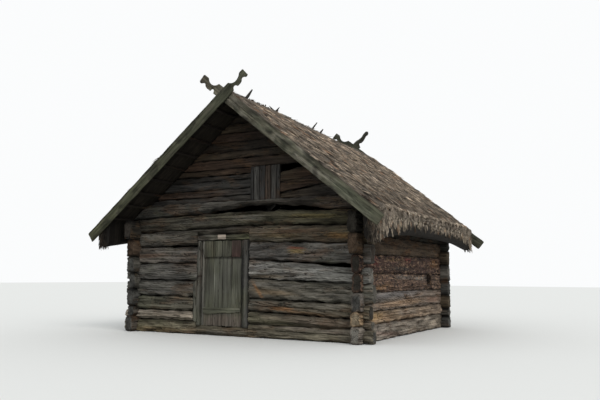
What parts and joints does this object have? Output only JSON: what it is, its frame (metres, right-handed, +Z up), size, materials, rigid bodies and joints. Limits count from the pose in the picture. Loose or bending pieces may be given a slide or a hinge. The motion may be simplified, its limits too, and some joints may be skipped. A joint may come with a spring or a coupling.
{
  "type": "thatched log granary",
  "caption": "Small log granary with interlocked corners, a low plank door on wooden pivots, a boarded gable with a hatch, and a thatched roof with horse-head bargeboards.",
  "frame": {"origin": "on the ground, in the middle of the roof's outline seen from above: in the middle of the width, and 0.125 m behind the middle of the walls", "axes": "+X to the right along the front wall, +Y from the door wall to the rear wall, +Z up"},
  "size_m": [6.66, 5.82, 4.8727],
  "materials": {
    "grey_log": "weathered, matt",
    "dark_log": "weathered, matt",
    "brown_log": "weathered, matt",
    "old_board": "weathered, matt",
    "thatch": "weathered, matt",
    "pole": "weathered, matt",
    "floor_board": "weathered, matt"
  },
  "bodies": {
    "house": {"sill_front": "brown_log", "front_logs_left": "grey_log", "front_logs_right": "grey_log", "front_logs_upper": "grey_log", "gable_log_front": "grey_log", "left_wall": "grey_log", "right_wall": "brown_log", "rear_wall": "dark_log", "gable_log_rear": "dark_log", "door_post_left": "old_board", "door_post_right": "old_board", "lintel": "old_board", "floor_joists": "dark_log", "floor_boards": "floor_board", "loft_beams": "dark_log", "loft_boards": "floor_board", "rafters_left": "pole", "rafters_right": "pole", "ridge_pole": "pole", "battens_left": "pole", "battens_right": "pole", "thatch_left": "thatch", "thatch_right": "thatch", "ridge_stakes": "pole", "gable_planks_left": "dark_log", "gable_planks_right": "brown_log", "gable_planks_top": "dark_log", "hatch_posts": "old_board", "hatch_boards": "old_board", "rear_gable_planks": "dark_log", "bargeboard_front_left": "old_board", "bargeboard_front_right": "old_board", "bargeboard_rear_left": "old_board", "bargeboard_rear_right": "old_board"},
    "door": {"door_boards": "old_board", "door_stile": "old_board", "door_ledges": "dark_log", "door_covers": "old_board"}
  },
  "joints": [
    {"name": "door_hinge", "type": "hinge", "parent": "house", "child": "door", "pos_m": [-0.785, -2.3148, 0.13], "axis": [0, 0, 1], "range_deg": [0, 90]}
  ]
}
